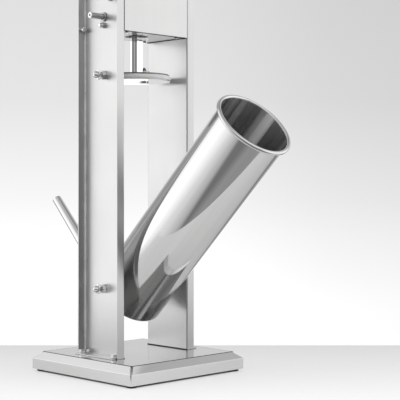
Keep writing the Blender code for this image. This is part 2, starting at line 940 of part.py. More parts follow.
def gearbox_shell():
    floor_top = gearbox_height + gearbox_floor_sheet
    side = half_web - mesh_gap
    front = column_front - gearbox_sheet - mesh_gap
    back = column_back + mesh_gap
    floor = block("gearbox_floor", back, front, -side, side, gearbox_height, floor_top, polished)
    neck = guide_neck_radius + mesh_gap
    low = gearbox_height - cut_overrun
    high = floor_top + cut_overrun
    cut(floor, pin_cutter("hole_guide", neck, "+Z", (column_x, 0, 0), low, high, None, round_segments))
    screw_hole = floor_screw_diameter / 2 + bolt_hole_gap
    shelf = floor_top + mesh_gap
    shelf_top = shelf + gearbox_sheet
    cover_top = upright_top - mesh_gap
    sheet = gearbox_sheet

    x0 = column_front - cover_return
    outline = [
        (x0, side - sheet),
        (column_front - sheet, side - sheet),
        (column_front - sheet, -side + sheet),
        (x0, -side + sheet),
        (x0, -side),
        (column_front, -side),
        (column_front, side),
        (x0, side),
    ]
    cover = prism("gearbox_front_cover", outline, shelf, cover_top, steel)
    apron = block("apron", column_front - sheet, column_front, -side, side, gearbox_height, shelf_top)
    x0 = column_front - cover_foot
    x1 = column_front - sheet / 2
    inner = side - sheet / 2
    ledge = block("front_ledge", x0, x1, -inner, inner, shelf, shelf_top)
    join(cover, apron)
    join(cover, ledge)

    x1 = column_back - mesh_gap
    x0 = x1 - sheet
    wide = half_web + flange_width - rear_cover_inset
    rear = block("gearbox_rear_cover", x0, x1, -wide, wide, gearbox_height, cover_top, steel)
    shelf_end = column_back + cover_foot
    join(rear, block("rear_ledge", x0 + sheet / 2, shelf_end, -inner, inner, shelf, shelf_top))
    for name, x, y in floor_screws():
        for obj, label in ((floor, "floor"), (cover if x > column_x else rear, "ledge")):
            place = (x, y, 0)
            high = shelf_top + cut_overrun
            cut(obj, pin_cutter("hole_" + label + "_" + name, screw_hole, "+Z", place, low, high))
    radius = rear_screw_diameter / 2 + bolt_hole_gap
    for label, sign in (("near", -1), ("far", 1)):
        place = (x1, sign * (half_web + rear_screw_reach), gearbox_height + rear_screw_height)
        reach = sheet + cut_overrun
        cut(rear, pin_cutter("hole_rear_cover_" + label, radius, "-X", place, -cut_overrun, reach))

    lid_low = upright_top - top_lip
    lid_high = upright_top + mesh_gap + sheet
    lid_x0 = x0 - mesh_gap - sheet
    lid_x1 = column_front + mesh_gap + sheet
    lid_y = half_web + flange_width + mesh_gap + sheet
    lid = block("gearbox_top", lid_x0, lid_x1, -lid_y, lid_y, lid_low, lid_high, steel)
    in_x0 = lid_x0 + sheet
    in_x1 = lid_x1 - sheet
    in_y = lid_y - sheet
    under = upright_top + mesh_gap
    cut(lid, block("lid_hollow", in_x0, in_x1, -in_y, in_y, lid_low - cut_overrun, under))
    cut(lid, rack_slot("lid_slot", lid_low, lid_high))


def rack_slot(name, low, high):
    """A cutter for the slot that the rack bar slides through."""
    x0 = column_x - guide_slot_x
    x1 = column_x + guide_slot_x
    return block(name, x0, x1, -guide_slot_y, guide_slot_y, low - cut_overrun, high + cut_overrun)


def shell_screws():
    seg = small_segments
    shank = floor_screw_diameter / 2
    head = floor_screw_head / 2
    seat = gearbox_height - mesh_gap
    low = seat - floor_screw_head_height
    edge = floor_screw_head_height / 3
    profile = [
        (head - edge, low),
        (head, low + edge),
        (head, seat),
        (shank, seat),
        (shank, gearbox_height + floor_screw_length),
    ]
    for name, x, y in floor_screws():
        turned("floor_screw_" + name, profile, hardware, seg, placed("+Z", x, y, 0))

    shank = rear_screw_diameter / 2
    outer = mesh_gap + gearbox_sheet + mesh_gap
    inner = upright_sheet + mesh_gap
    head = rear_nut_flats / 2
    edge = shank / 3
    nut_end = inner + rear_nut_height
    rings = [
        circle(head - edge, -outer - shank, seg),
        circle(head, -outer - shank + edge, seg),
        circle(head, -outer, seg),
        circle(shank, -outer, seg),
        circle(shank, inner, seg),
        hexagon(rear_nut_flats, inner, seg),
        hexagon(rear_nut_flats, nut_end - edge, seg),
        circle(head - edge, nut_end, seg),
    ]
    z = gearbox_height + rear_screw_height
    for label, sign in (("near", -1), ("far", 1)):
        y = sign * (half_web + rear_screw_reach)
        part("flange_screw_" + label, loft(rings), hardware, placed("+X", column_back, y, z))

    shank = side_bolt_diameter / 2
    inside = half_web - mesh_gap
    outside = web_out + mesh_gap
    hex_end = outside + side_bolt_hex
    end = hex_end + side_bolt_dome
    round_edge = side_bolt_flats / 2 - edge
    rings = [
        hexagon(side_bolt_flats, inside - side_bolt_inner_nut, seg),
        hexagon(side_bolt_flats, inside, seg),
        circle(shank, inside, seg),
        circle(shank, outside, seg),
        hexagon(side_bolt_flats, outside, seg),
        hexagon(side_bolt_flats, hex_end, seg),
        circle(round_edge, hex_end + edge, seg),
        circle(round_edge * 5 / 6, end - edge, seg),
        circle(round_edge / 2, end, seg),
    ]
    z = gearbox_height + side_bolt_height
    for label, direction in (("near", "-Y"), ("far", "+Y")):
        part("side_bolt_" + label, loft(rings), hardware, placed(direction, column_x, 0, z))


def rack_guide():
    neck = guide_neck_radius
    flange = neck + guide_flange_width
    seat = gearbox_height - mesh_gap
    low = seat - guide_flange
    top = seat + guide_neck_height
    profile = [(flange, low), (flange, seat), (neck, seat), (neck, top)]
    place = placed("+Z", column_x, 0, 0)
    guide = turned("rack_guide", profile, guide_black, round_segments, place)
    cut(guide, rack_slot("guide_slot", low, top))


# Gear train inside the gearbox
def bearing_plates():
    low = gearbox_height + gearbox_floor_sheet + mesh_gap
    high = upright_top - bearing_plate_top_gap
    x0 = column_back + cover_foot + mesh_gap
    x1 = column_front - cover_foot - mesh_gap
    hole = shaft_bore_radius
    for label, sign in (("near", -1), ("far", 1)):
        y0, y1 = sorted((sign * bearing_plate_y, sign * (bearing_plate_y + bearing_plate)))
        f0, f1 = sorted((sign * bearing_plate_y, sign * (bearing_plate_y + bearing_plate_foot)))
        name = "bearing_plate_" + label
        obj = block(name, x0, x1, y0, y1, low, high, steel)
        foot_top = low + bearing_plate
        join(obj, block("foot_" + name, x0 + running_gap, x1 - running_gap, f0, f1, low, foot_top))
        low_y = y0 - cut_overrun
        high_y = y1 + cut_overrun
        place = (fast_x, 0, fast_z)
        cut(obj, pin_cutter("hole_fast_" + name, hole, "+Y", place, low_y, high_y))
        if sign < 0:
            place = (column_x, 0, slow_z)
            cut(obj, pin_cutter("hole_slow_" + name, hole, "+Y", place, low_y, high_y))


def shaft_bush(name, x, z):
    bore = shaft_bore_radius
    neck = bush_neck_radius
    flange = neck + bush_flange_width
    seat = web_out + mesh_gap
    edge = bush_flange / 5
    profile = [
        (bore, web_out - bush_neck),
        (neck, web_out - bush_neck),
        (neck, seat),
        (flange, seat),
        (flange, seat + bush_flange - edge),
        (flange - edge, seat + bush_flange),
        (bore, seat + bush_flange),
    ]
    turned(name, profile, bush_metal, round_segments, placed("-Y", x, 0, z), closed=True)


def shaft(name, outer, inner, parent):
    """Outer is the reach past the web, inner the inner end's place along -Y."""
    radius = shaft_radius
    chamfer = shaft_end_chamfer
    end = web_out + outer
    centre = shaft_centre_diameter / 2
    profile = [
        (radius - chamfer, inner),
        (radius, inner + chamfer),
        (radius, end - chamfer),
        (radius - chamfer, end),
        (centre, end),
        (centre / 2, end - shaft_centre_depth),
    ]
    turned(name, profile, polished, shaft_segments, ALONG["-Y"], parent)


def gear(name, teeth, module, root_depth, phase, span, parent, hub_wall=0):
    low, high = span
    outline = gear_outline(teeth, module, root_depth, phase)
    along = ALONG["-Y"]
    obj = prism(name, outline, low, high, gear_steel, along, parent)
    bore = shaft_bore_radius
    if hub_wall:
        hub = bore + hub_wall
        profile = [(hub, (low + high) / 2), (hub, high + (high - low) / 2)]
        join(obj, turned("hub_" + name, profile, None, round_segments, along, parent))
    far_end = high + high - low
    cutter = [(bore, low - cut_overrun), (bore, far_end)]
    cut(obj, turned("bore_" + name, cutter, None, shaft_segments, along, parent))


# Crank on the fast shaft, pointing up at rest
def crank(parent, grip_parent, screw_parent):
    bore = shaft_radius + mesh_gap
    hub = bore + crank_hub_wall
    outer = crank_outer
    inner = crank_inner
    arm_in = outer - crank_arm_thickness
    wide = crank_arm_width / 2
    narrow = crank_arm_end_width / 2
    steps = 8
    outline = []
    for k in range(steps + 1):
        angle = math.pi + k / steps * math.pi
        outline.append((wide * math.cos(angle), wide * math.sin(angle)))
    for k in range(steps + 1):
        angle = k / steps * math.pi
        outline.append((narrow * math.cos(angle), crank_radius + narrow * math.sin(angle)))
    along = ALONG["-Y"]
    arm = prism("crank_arm", outline, arm_in, outer, polished, along, parent)
    collar = [(hub, inner), (hub, outer - running_gap)]
    join(arm, turned("crank_hub", collar, None, round_segments, along, parent))
    hole = [(bore, inner - cut_overrun), (bore, outer + cut_overrun)]
    cut(arm, turned("crank_bore", hole, None, shaft_segments, along, parent))
    pin = grip_pin_diameter / 2 + mesh_gap
    top = placed("-Y", 0, 0, crank_radius)
    hole = [(pin, arm_in - cut_overrun), (pin, outer + cut_overrun)]
    cut(arm, turned("grip_pin_bore", hole, None, small_segments, top, parent))
    screw = thumb_screw_diameter / 2 + running_gap
    place = (0, -screw_reach, 0)
    cut(arm, pin_cutter("screw_bore", screw, "+X", place, shaft_radius, hub + cut_overrun, parent))

    pin = grip_pin_diameter / 2
    head = grip_pin_head_diameter / 2
    grip_start = outer + 2 * running_gap
    grip_end = grip_start + grip_length
    back = arm_in - mesh_gap
    profile = [
        (head - grip_pin_head / 3, back - grip_pin_head),
        (head, back - grip_pin_head * 2 / 3),
        (head, back),
        (pin, back),
        (pin, grip_end + running_gap),
        (head, grip_end + running_gap),
        (head, grip_end + grip_pin_head * 2 / 3),
        (head - grip_pin_head / 2, grip_end + grip_pin_head),
    ]
    turned("grip_pin", profile, hardware, shaft_segments, top, parent)

    bore = pin + running_gap
    big = grip_diameter / 2
    waist = grip_waist_diameter / 2
    edge = grip_edge
    profile = [
        (bore, grip_start),
        (waist - edge, grip_start),
        (waist, grip_start + edge),
        (waist, grip_start + grip_length / 6),
        (big, grip_start + grip_length * 3 / 5),
        (big, grip_end - 3 * edge),
        (big - edge, grip_end - edge),
        (big - 2 * edge, grip_end),
        (bore, grip_end),
    ]
    turned("crank_grip", profile, grip_black, round_segments, along, grip_parent, closed=True)

    start = shaft_radius + running_gap
    neck = hub + thumb_screw_reach
    radius = thumb_screw_diameter / 2
    head = thumb_head_diameter / 2
    edge = thumb_head_edge
    profile = [
        (radius / 2, start),
        (radius, start + radius / 2),
        (radius, neck),
        (head - edge, neck),
        (head, neck + edge),
        (head, neck + thumb_head - edge),
        (head - edge, neck + thumb_head),
    ]
    turned("thumb_screw", profile, grip_black, round_segments, ALONG["+X"], screw_parent)


base_pan()
feet()
upright("upright_near", -1)
upright("upright_far", 1)
base_bolts()

for side_name, side_sign in (("near", -1), ("far", 1)):
    pivot_inner = tube_radius + tube_wall + pivot_stud_end_gap
    stud("pivot_stud_" + side_name, side_sign, pivot_height, pivot_inner)
    stud_nut("pivot_nut_" + side_name, side_sign, pivot_height)
    dome_nut("pivot_dome_" + side_name, side_sign, pivot_height)
    stop_inner = tube_radius + side_stop_gap
    stud("stop_stud_" + side_name, side_sign, side_stop_height, stop_inner)
    stud_nut("stop_nut_" + side_name, side_sign, side_stop_height)
    dome_nut("stop_dome_" + side_name, side_sign, side_stop_height)

cylinder_joint = empty_at("joint_cylinder_tilt", (column_x, 0, pivot_height), deck, tilt_angle)
cylinder_tube(cylinder_joint)
outlet_elbow(cylinder_joint)
nut_joint = empty_at("joint_ring_nut", (0, 0, -horn_below_pivot), cylinder_joint)
ring_nut(nut_joint)
filling_horn(cylinder_joint)

ram_joint = empty_at("joint_ram_lift", (column_x, 0, piston_height), deck)
rack_bar(ram_joint)
piston(ram_joint)
valve_joint = empty_at("joint_air_valve", (0, valve_offset, 0), ram_joint)
air_valve(ram_joint, valve_joint)

gearbox_shell()
shell_screws()
rack_guide()
bearing_plates()
shaft_bush("shaft_bush_slow", column_x, slow_z)
shaft_bush("shaft_bush_fast", fast_x, fast_z)

fast_joint = empty_at("joint_fast_shaft", (fast_x, 0, fast_z), deck)
slow_joint = empty_at("joint_slow_shaft", (column_x, 0, slow_z), deck)
shaft("fast_shaft", fast_shaft_reach, -(bearing_plate_y + 2 * bearing_plate), fast_joint)
shaft("slow_shaft", slow_shaft_reach, bearing_plate_y - shaft_end_chamfer, slow_joint)
pinion_root = rack_addendum + root_clearance_share * rack_module
half_pinion = rack_width / 2 + pinion_overlap
span = (-half_pinion, half_pinion)
gear("rack_pinion", pinion_teeth, rack_module, pinion_root, math.pi, span, fast_joint)
gear_root = gear_module * (1 + root_clearance_share)
gear_low = gear_plane - gear_width / 2
gear_high = gear_plane + gear_width / 2
to_slow = math.atan2(slow_z - fast_z, gear_step_x)
span = (gear_low, gear_high)
gear("large_gear", large_teeth, gear_module, gear_root, to_slow, span, fast_joint, large_hub_wall)
slow_phase = to_slow + math.pi + math.pi / slow_teeth
gear("slow_pinion", slow_teeth, gear_module, gear_root, slow_phase, span, slow_joint)

grip_joint = empty_at("joint_crank_grip", (0, 0, crank_radius), fast_joint)
screw_joint = empty_at("joint_thumb_screw", (0, -screw_reach, 0), fast_joint)
crank(fast_joint, grip_joint, screw_joint)
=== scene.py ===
"""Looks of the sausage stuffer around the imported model, in metres, +Z up.

The origin is on the table top, below the centre of the base. The camera stands where the
photograph's did, and the studio round the stuffer is a world shader with a table under it.
"""

import json
import math

import bmesh
import bpy
from mathutils import Matrix, Vector


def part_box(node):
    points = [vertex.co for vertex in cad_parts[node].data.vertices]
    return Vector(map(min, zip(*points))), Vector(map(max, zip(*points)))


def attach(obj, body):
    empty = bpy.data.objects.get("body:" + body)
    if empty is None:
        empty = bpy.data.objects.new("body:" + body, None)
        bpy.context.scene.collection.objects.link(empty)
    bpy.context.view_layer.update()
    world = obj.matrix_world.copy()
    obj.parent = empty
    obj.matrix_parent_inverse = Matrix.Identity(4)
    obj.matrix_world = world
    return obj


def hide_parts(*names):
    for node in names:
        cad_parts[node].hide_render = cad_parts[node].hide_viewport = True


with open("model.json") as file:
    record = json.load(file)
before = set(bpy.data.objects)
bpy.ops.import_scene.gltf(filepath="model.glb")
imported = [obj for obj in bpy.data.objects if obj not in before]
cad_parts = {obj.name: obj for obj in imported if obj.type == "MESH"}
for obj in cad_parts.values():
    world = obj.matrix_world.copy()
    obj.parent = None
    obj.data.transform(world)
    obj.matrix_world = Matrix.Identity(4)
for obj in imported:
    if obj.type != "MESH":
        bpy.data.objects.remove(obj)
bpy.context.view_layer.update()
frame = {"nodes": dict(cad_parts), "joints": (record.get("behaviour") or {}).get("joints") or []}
nodes = frame["nodes"]
joint_place = {joint["name"]: joint.get("pos_m") for joint in frame["joints"]}

# Camera, from the photograph's 400 pixel frame
frame_pixels = 400
focal_pixels = 1141.47
horizon_pixel = 184.10
sensor_width = 36
camera_place = Vector((1.7208, -1.52444, 0.37516))
camera_forward = Vector((-0.7114, 0.7028, 0)).normalized()
camera_reach = 100

# Table
table_behind = 0.36
table_before = 0.315
table_half_width = 1.3
table_thickness = 0.03
table_colour = (0.52, 0.52, 0.52)
table_roughness = 0.6
table_specular = 0.1

# Light that the table gives off before and behind the stuffer, as the camera and as mirrors see it,
# and more far to the left for mirrors alone, by place in metres to the right. It gives off none
# under the base
glow_seen = (0.56, 0.29)
glow_mirrored = (0.48, 0.19)
left_glow = 0.4
left_glow_full = -1.0
left_glow_end = -0.6
under_shadow = 0.01

# Cylinder, in its own frame: origin on the pivot, +Z up the tube
tilt_angle = math.radians(45.75)
tube_radius = 0.071
tube_wall = 0.001
tube_below_pivot = 0.029
rim_above_pivot = 0.448
rim_bead_radius = 0.0041
tube_foot_radius = 0.006
outlet_radius = 0.016
boss_radius = 0.011
boss_bore = 0.0053
boss_length = 0.0119
boss_weld = 0.0011

# Elbow, ring nut and horn, along the horn's axis from the elbow's corner
horn_below_pivot = 0.067
elbow_radius = 0.0195
elbow_bend_radius = 0.024
elbow_flange_radius = 0.032
elbow_flange = 0.003
mesh_gap = 0.0003
spout_reach = 0.075
spout_collar_radius = 0.022
spout_collar_start = 0.045
spout_collar = 0.004
nut_bore = 0.0198
nut_outer = 0.0253
nut_start = 0.0493
nut_seat = 0.0789
nut_end = 0.0824
nut_lip_bore = 0.0124
nut_lobe_depth = 0.0022
nut_lobes = 10
nut_lobe_power = 1.5
horn_end = 0.306
horn_base_radius = 0.0118
horn_tip_radius = 0.0101
horn_wall = 0.001
horn_flange = 0.003

# Stud nuts with domes
dome_flats = 0.017
dome_hex_height = 0.0055
dome_chamfer = 0.0012
dome_radius = 0.0073
dome_height = 0.0098
stud_radius = 0.005

# Sides of the stuffer, with the sign of Y
sides = (("near", -1), ("far", 1))

# Uprights, and the rib up each one's inner corner
web_outer = 0.0856
upright_sheet = 0.002
web_inner = web_outer - upright_sheet
rib_width = 0.004
rib_height = 0.0028
rib_foot = 0.0065
rib_round = rib_width / 6

# Base, and seams of painted shade
bevel_run = 0.017
bevel_drop = 0.013
seam_line = 0.0009
seam_proud = 0.00012
deck_seam_width = 1.3 * seam_line
guide_shade_height = 1.4 * seam_line
guide_shade_width = 2 * seam_proud
floor_seam_height = 1.3 * seam_line
floor_seam_width = 2 * seam_line
floor_seam_round = mesh_gap / 4
web_seam_height = 2 * seam_line
web_seam_round = seam_proud / 4

# Centre hole of a shaft: its share of the shaft, and its outline in shares of its radius and of
# seam_proud
centre_hole_share = 0.3
centre_hole_outline_shares = ((0, 0), (1, 0), (1.15, 1), (0.75, 1.5), (0, 0.5))

# Facets of a full turn, of a lobe and of a hexagon's side, and edges
fine = 160
medium = 64
points_per_side = 12
smooth_angle = math.radians(35)
join_distance = 0.000005
edge_segments = 2
edge_round = 0.00035
base_edge_round = 0.0011
upright_edge_round = 0.0004


# Mesh tools
def new_object(name, bm, mat, place=None, smooth=True):
    bmesh.ops.recalc_face_normals(bm, faces=bm.faces)
    mesh = bpy.data.meshes.new(name)
    bm.to_mesh(mesh)
    bm.free()
    mesh.materials.append(mat)
    if smooth:
        mesh.shade_smooth()
        mesh.set_sharp_from_angle(angle=smooth_angle)
    obj = bpy.data.objects.new(name, mesh)
    bpy.context.scene.collection.objects.link(obj)
    if place is not None:
        obj.matrix_world = place
    return obj


def spun(name, profile, mat, segments, place):
    """The closed profile of radii and heights turned round local Z."""
    bm = bmesh.new()
    verts = [bm.verts.new((radius, 0, height)) for radius, height in profile]
    edges = [bm.edges.new(pair) for pair in zip(verts, verts[1:] + verts[:1])]
    bmesh.ops.spin(
        bm,
        geom=verts + edges,
        axis=(0, 0, 1),
        cent=(0, 0, 0),
        angle=2 * math.pi,
        steps=segments,
        use_merge=True,
    )
    bmesh.ops.remove_doubles(bm, verts=bm.verts, dist=join_distance)
    return new_object(name, bm, mat, place)


def lofted(name, rings, mat, place=None, closed=False):
    """A skin over rings of points. A closed one joins the last ring to the first, others are capped."""
    bm = bmesh.new()
    rows = [[bm.verts.new(point) for point in ring_points] for ring_points in rings]
    pairs = list(zip(rows, rows[1:]))
    if closed:
        pairs.append((rows[-1], rows[0]))
    for low, high in pairs:
        count = len(low)
        for k in range(count):
            bm.faces.new((low[k], low[(k + 1) % count], high[(k + 1) % count], high[k]))
    if not closed:
        bm.faces.new(list(reversed(rows[0])))
        bm.faces.new(rows[-1])
    return new_object(name, bm, mat, place)


def arc(centre, radius, start, end, steps):
    """Points of an arc in the plane of radius and height, from one angle in degrees to another."""
    points = []
    for k in range(steps + 1):
        angle = math.radians(start + (end - start) * k / steps)
        points.append((centre[0] + radius * math.cos(angle), centre[1] + radius * math.sin(angle)))
    return points


def ring(radius, height, segments):
    turn = 2 * math.pi / segments
    return [(radius * math.cos(k * turn), radius * math.sin(k * turn), height) for k in range(segments)]


def hexagon(flats, height, segments):
    """A hexagon with its points spread along its sides, so that it meets rings of as many points."""
    points = []
    for k in range(segments):
        angle = 2 * math.pi * k / segments
        off = (angle + math.pi / 6) % (math.pi / 3) - math.pi / 6
        radius = flats / 2 / math.cos(off)
        points.append((radius * math.cos(angle), radius * math.sin(angle), height))
    return points


def turned_to(direction, place):
    """Local +Z along the direction, at the place."""
    return Matrix.Translation(place) @ Vector(direction).to_track_quat("Z", "Y").to_matrix().to_4x4()


# Shader tools
class Nodes:
    """A node tree and the few calls that build it."""

    def __init__(self, tree):
        self.tree = tree

    def fill(self, node, inputs):
        """Each of the node's inputs from a plain value, or from another node's output."""
        for key, item in inputs.items():
            if isinstance(item, bpy.types.NodeSocket):
                self.tree.links.new(item, node.inputs[key])
            else:
                node.inputs[key].default_value = item
        return node

    def add(self, kind, inputs=None):
        return self.fill(self.tree.nodes.new(kind), inputs or {})

    def sum_of(self, operation, *items):
        node = self.add("ShaderNodeMath")
        node.operation = operation
        return self.fill(node, dict(enumerate(items))).outputs["Value"]

    def spread(self, value, low, high, start=0.3, end=0.7, soft=False):
        """From low where the value is start to high where it is end, straight or with soft ends."""
        node = self.add("ShaderNodeMapRange")
        node.interpolation_type = "SMOOTHSTEP" if soft else "LINEAR"
        limits = {"From Min": start, "From Max": end, "To Min": low, "To Max": high}
        return self.fill(node, {"Value": value, **limits}).outputs["Result"]

    def parts_of(self, vector):
        return self.add("ShaderNodeSeparateXYZ", {"Vector": vector}).outputs

    def along(self, vector, direction):
        node = self.add("ShaderNodeVectorMath")
        node.operation = "DOT_PRODUCT"
        return self.fill(node, {0: vector, 1: direction}).outputs["Value"]

    def mixed(self, factor, first, second):
        node = self.add("ShaderNodeMix")
        node.data_type = "RGBA"
        return self.fill(node, {"Factor": factor, "A": first, "B": second}).outputs["Result"]

    def ramp(self, factor, stops):
        """A grey colour ramp over the factor, from pairs of place and value."""
        node = self.add("ShaderNodeValToRGB", {"Fac": factor})
        elements = node.color_ramp.elements
        while len(elements) > 1:
            elements.remove(elements[-1])
        elements[0].position = stops[0][0]
        elements[0].color = (stops[0][1],) * 3 + (1,)
        for place, value in stops[1:]:
            element = elements.new(place)
            element.color = (value,) * 3 + (1,)
        return node.outputs["Color"]


class Shader(Nodes):
    """A material round its Principled BSDF."""

    def __init__(self, name, colour, metallic, roughness):
        self.mat = bpy.data.materials.new(name)
        self.mat.use_nodes = True
        super().__init__(self.mat.node_tree)
        self.main = self.tree.nodes["Principled BSDF"]
        self.set("Base Color", (*colour, 1))
        self.set("Metallic", metallic)
        self.set("Roughness", roughness)
        self.place = self.add("ShaderNodeTexCoord").outputs["Object"]

    def set(self, socket, value):
        self.fill(self.main, {socket: value})

    def noise(self, scale, detail=3, roughness=0.5):
        """Noise over object coordinates, stretched by the scale along each axis."""
        stretched = self.add("ShaderNodeMapping", {"Vector": self.place, "Scale": scale}).outputs["Vector"]
        inputs = {"Vector": stretched, "Scale": 1, "Detail": detail, "Roughness": roughness}
        return self.add("ShaderNodeTexNoise", inputs).outputs["Fac"]

    def tint(self, factor, colour=(1, 1, 1)):
        """The colour times the factor, on the shader's base colour."""
        node = self.add("ShaderNodeVectorMath")
        node.operation = "SCALE"
        self.set("Base Color", self.fill(node, {0: colour, "Scale": factor}).outputs["Vector"])

    def roughen(self, roughness, first, second):
        """The roughness with two changes added to it."""
        changes = self.sum_of("ADD", first, second)
        self.set("Roughness", self.sum_of("ADD", changes, roughness))

    def bump(self, height, strength, distance):
        inputs = {"Height": height, "Strength": strength, "Distance": distance}
        self.set("Normal", self.add("ShaderNodeBump", inputs).outputs["Normal"])

    def brush(self, amount):
        """Highlights drawn out by the amount, with tangents that run round the Z axis."""
        node = self.add("ShaderNodeTangent")
        node.direction_type = "RADIAL"
        node.axis = "Z"
        self.set("Anisotropic", amount)
        self.set("Tangent", node.outputs["Tangent"])


# Materials
def brushed_steel(
    name, colour, roughness, grain, anisotropy=0.0, marks=0.03, relief=0.1, painted_shade_above=None, painted_shade_towards_foot=None
):
    """Steel with a fine grain: small scales run along the grain and large ones across it.

    The shade painted above a height is a height and a share: above the height the colour is that share of the
    colour below, as painted shade.
    The shade painted towards the foot is two heights and a share: faces across X go from their full colour at
    the upper height to that share of it at the lower one, as painted shade.
    """
    coarseness = 7
    cloud_scale = (9, 9, 7)
    grain_roughness = (-0.012, 0.012)
    cloud_roughness = (-0.02, 0.03)
    relief_depth = 0.00003
    shader = Shader(name, colour, 1, roughness)
    fine_grain = shader.noise(grain, detail=4, roughness=0.6)
    broad_grain = shader.noise([value / coarseness for value in grain], detail=2)
    cloud = shader.noise(cloud_scale)
    both = [shader.spread(noise, -marks, marks) for noise in (fine_grain, broad_grain)]
    tone = shader.sum_of("ADD", shader.sum_of("ADD", *both), 1)
    # Painted shade: the colour darker above the height
    if painted_shade_above:
        level, share = painted_shade_above
        height = shader.parts_of(shader.place)["Z"]
        tone = shader.sum_of("MULTIPLY", tone, shader.spread(height, 1, share, level - mesh_gap, level))
    # Painted shade: faces across X darker towards the foot
    if painted_shade_towards_foot:
        low, high, share = painted_shade_towards_foot
        height = shader.parts_of(shader.place)["Z"]
        normal = shader.parts_of(shader.add("ShaderNodeNewGeometry").outputs["Normal"])
        facing = shader.sum_of("ABSOLUTE", normal["X"])
        painted_darkening = shader.sum_of("MULTIPLY", facing, shader.spread(height, 1 - share, 0, low, high))
        tone = shader.sum_of("MULTIPLY", tone, shader.sum_of("SUBTRACT", 1, painted_darkening))
    shader.tint(tone, colour)
    shader.roughen(
        roughness, shader.spread(fine_grain, *grain_roughness), shader.spread(cloud, *cloud_roughness)
    )
    if relief:
        shader.bump(fine_grain, relief, relief_depth)
    if anisotropy:
        shader.brush(anisotropy)
    return shader.mat


def polished_steel(name, colour, roughness, grain, marks, relief=0.0):
    """Bright steel with faint polishing lines, wipe marks and a little spread of gloss."""
    wipe_scale = (14, 14, 5)
    wipe_range = (0.4, 0.75)
    wipe_roughness = (-0.01, 0.03)
    line_roughness = (0, 0.012)
    relief_depth = 0.00002
    shader = Shader(name, colour, 1, roughness)
    lines = shader.noise(grain)
    wipe = shader.noise(wipe_scale, detail=4, roughness=0.65)
    shader.tint(shader.sum_of("ADD", shader.spread(lines, -marks, marks), 1), colour)
    shader.roughen(
        roughness, shader.spread(wipe, *wipe_roughness, *wipe_range), shader.spread(lines, *line_roughness)
    )
    if relief:
        shader.bump(lines, relief, relief_depth)
    return shader.mat


def plastic(name, colour, roughness, grain_size, relief):
    """Moulded plastic or rubber with a grained skin, and colour and gloss uneven from wear."""
    wear_scale = (30, 30, 30)
    wear_tones = (0.85, 1.25)
    wear_roughness = (-0.06, 0.08)
    relief_depth = 0.0001
    shader = Shader(name, colour, 0, roughness)
    grain = shader.noise((grain_size,) * 3, detail=2)
    wear = shader.noise(wear_scale, detail=4)
    shader.tint(shader.spread(wear, *wear_tones), colour)
    shader.set("Roughness", shader.spread(wear, *[roughness + change for change in wear_roughness]))
    shader.bump(grain, relief, relief_depth)
    return shader.mat


def silicone(name, colour, roughness):
    """White seal with a soft skin sheen and faint moulding lines round it."""
    line_scale = (12, 12, 900)
    line_tones = (0.93, 1.03)
    dust_scale = (60, 60, 60)
    dust_tones = (0.96, 1.02)
    relief = 0.15
    relief_depth = 0.0001
    softness = 0.12
    softness_depth = 0.002
    shader = Shader(name, colour, 0, roughness)
    lines = shader.noise(line_scale)
    dust = shader.noise(dust_scale, detail=4)
    tone = shader.sum_of("MULTIPLY", shader.spread(lines, *line_tones), shader.spread(dust, *dust_tones))
    shader.tint(tone, colour)
    shader.set("Subsurface Weight", softness)
    shader.set("Subsurface Scale", softness_depth)
    shader.bump(lines, relief, relief_depth)
    return shader.mat


# Rack bar: the painted dark reflection on its near face from one share of the width to another, the tone of
# the steel, of the painted reflection and of the painted highlight line up its middle
rack_colour = (0.84, 0.84, 0.835)
rack_roughness = 0.07
rack_tone = 0.84
rack_painted_reflection_shares = (0.22, 0.99)
rack_painted_reflection_tone = 0.13
rack_painted_highlight_tone = 0.28
rack_edge_share = 1 / 40


def rack_steel(name):
    """Bright ground steel with a painted dark reflection along the bar's near face, and a painted highlight
    line up its middle.
    """
    low_corner, high_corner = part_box("rack_bar")
    width = high_corner.x - low_corner.x
    edge = width * rack_edge_share
    start, end = [low_corner.x + share * width for share in rack_painted_reflection_shares]
    shader = Shader(name, rack_colour, 1, rack_roughness)
    place = shader.parts_of(shader.place)
    left = shader.spread(place["X"], 0, 1, start - edge, start + edge)
    right = shader.spread(place["X"], 1, 0, end - edge, end + edge)
    near = shader.spread(place["Y"], 1, 0, low_corner.y + edge / 2, low_corner.y + edge)
    # The band is a painted dark reflection, with a painted highlight line up its middle
    band = shader.sum_of("MULTIPLY", shader.sum_of("MULTIPLY", left, right), near)
    from_middle = shader.sum_of("ABSOLUTE", shader.sum_of("SUBTRACT", place["X"], (start + end) / 2))
    painted_reflection_tone = shader.spread(from_middle, rack_painted_highlight_tone, rack_painted_reflection_tone, edge, 3 * edge)
    bar_tone = shader.spread(band, rack_tone, 0, 0, 1)
    shader.tint(shader.sum_of("ADD", bar_tone, shader.sum_of("MULTIPLY", band, painted_reflection_tone)))
    return shader.mat


# Bores of the cylinder and the horn, with their painted highlight streaks: middle and half width in degrees
# round the axis, and strength. Tones and roughness go from the bare bore to a full painted highlight
bore_painted_highlights = ((111, 9, 1), (121, 9, 0.25), (159, 7, 0.22), (176, 10, 0.12))
bore_tones = (0.56, 0.98)
bore_roughness = (0.27, 1.0)
bore_grain = 0.06
bore_grain_scale = (120, 120, 2.5)
bore_brushing = 0.8
bore_brushing_turn = 0.25


